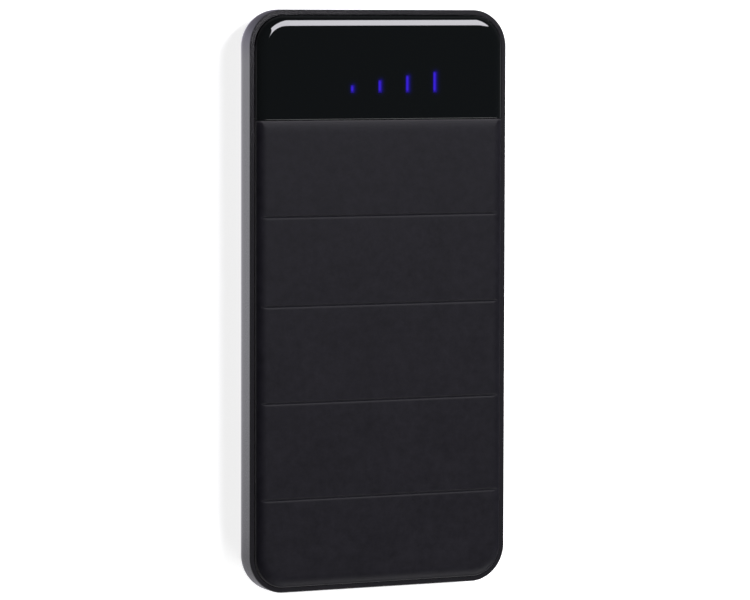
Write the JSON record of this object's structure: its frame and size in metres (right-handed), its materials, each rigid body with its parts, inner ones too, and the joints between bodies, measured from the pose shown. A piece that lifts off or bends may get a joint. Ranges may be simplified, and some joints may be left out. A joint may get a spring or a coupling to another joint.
{
  "type": "power bank",
  "caption": "Slim rectangular power bank with a grooved matt cover, a gloss display window with lit charge bars, charging sockets and a side button.",
  "frame": {"origin": "middle of the flat back, which the power bank lies on", "axes": "+Z out of the front face, +Y towards the display and socket end, +X to the right as the front is seen"},
  "size_m": [0.0692, 0.1414, 0.012],
  "materials": {
    "shell_plastic": "satin black moulded plastic",
    "frame_plastic": "grey moulded plastic",
    "cover_plastic": "fine-grained matt black plastic",
    "window_gloss": "polished black plastic",
    "lens_blue": "lit blue-violet light pipe",
    "mask_rubber": "matt black",
    "led_white": "moulded LED package",
    "board_green": "green solder mask on glass-fibre board",
    "screw_steel": "plain steel",
    "ferrite": "grey ferrite",
    "chip_black": "moulded epoxy",
    "capacitor_tan": "ceramic",
    "socket_steel": "nickel-plated steel sheet",
    "tongue_plastic": "white nylon",
    "contact_gold": "gold-plated contact",
    "button_plastic": "satin black plastic",
    "cell_foil": "aluminium laminate pouch",
    "tab_nickel": "nickel strip",
    "lead_red": "red silicone insulation",
    "lead_black": "black silicone insulation",
    "tape_white": "double-sided adhesive tape",
    "foam_black": "soft closed-cell foam",
    "tape_amber": "amber polyimide tape"
  },
  "bodies": {
    "casing": {"rear_shell": "shell_plastic", "inner_frame": "frame_plastic", "front_cover": "cover_plastic", "display_window": "window_gloss", "indicator_lens_1": "lens_blue", "indicator_lens_2": "lens_blue", "indicator_lens_3": "lens_blue", "indicator_lens_4": "lens_blue", "light_mask": "mask_rubber", "indicator_leds": "led_white", "circuit_board": "board_green", "board_screws": "screw_steel", "power_inductor": "ferrite", "control_chips": "chip_black", "capacitors": "capacitor_tan", "usb_a_shell_left": "socket_steel", "usb_a_shell_right": "socket_steel", "usb_a_tongue_left": "tongue_plastic", "usb_a_tongue_right": "tongue_plastic", "usb_a_contacts_left": "contact_gold", "usb_a_contacts_right": "contact_gold", "micro_usb_shell": "socket_steel", "micro_usb_tongue": "chip_black", "switch_body": "chip_black", "battery_cell": "cell_foil", "battery_tab_positive": "tab_nickel", "battery_tab_negative": "tab_nickel", "battery_guard_board": "board_green", "battery_lead_red": "lead_red", "battery_lead_black": "lead_black", "battery_tape": "tape_white", "battery_foam": "foam_black", "cell_seal_tape": "tape_amber"},
    "button": {"power_button": "button_plastic"},
    "plunger": {"switch_plunger": "tongue_plastic"}
  },
  "joints": [
    {"name": "button_press", "type": "slide", "parent": "casing", "child": "button", "axis": [-1, 0, 0], "range_m": [0, 0.00035], "stiffness_N_per_m": 2500, "springref_m": -0.0004},
    {"name": "plunger_press", "type": "slide", "parent": "casing", "child": "plunger", "axis": [-1, 0, 0], "range_m": [0, 0.00035]}
  ],
  "couplings": [
    {"joint": "plunger_press", "follows": "button_press", "ratio": 1}
  ]
}
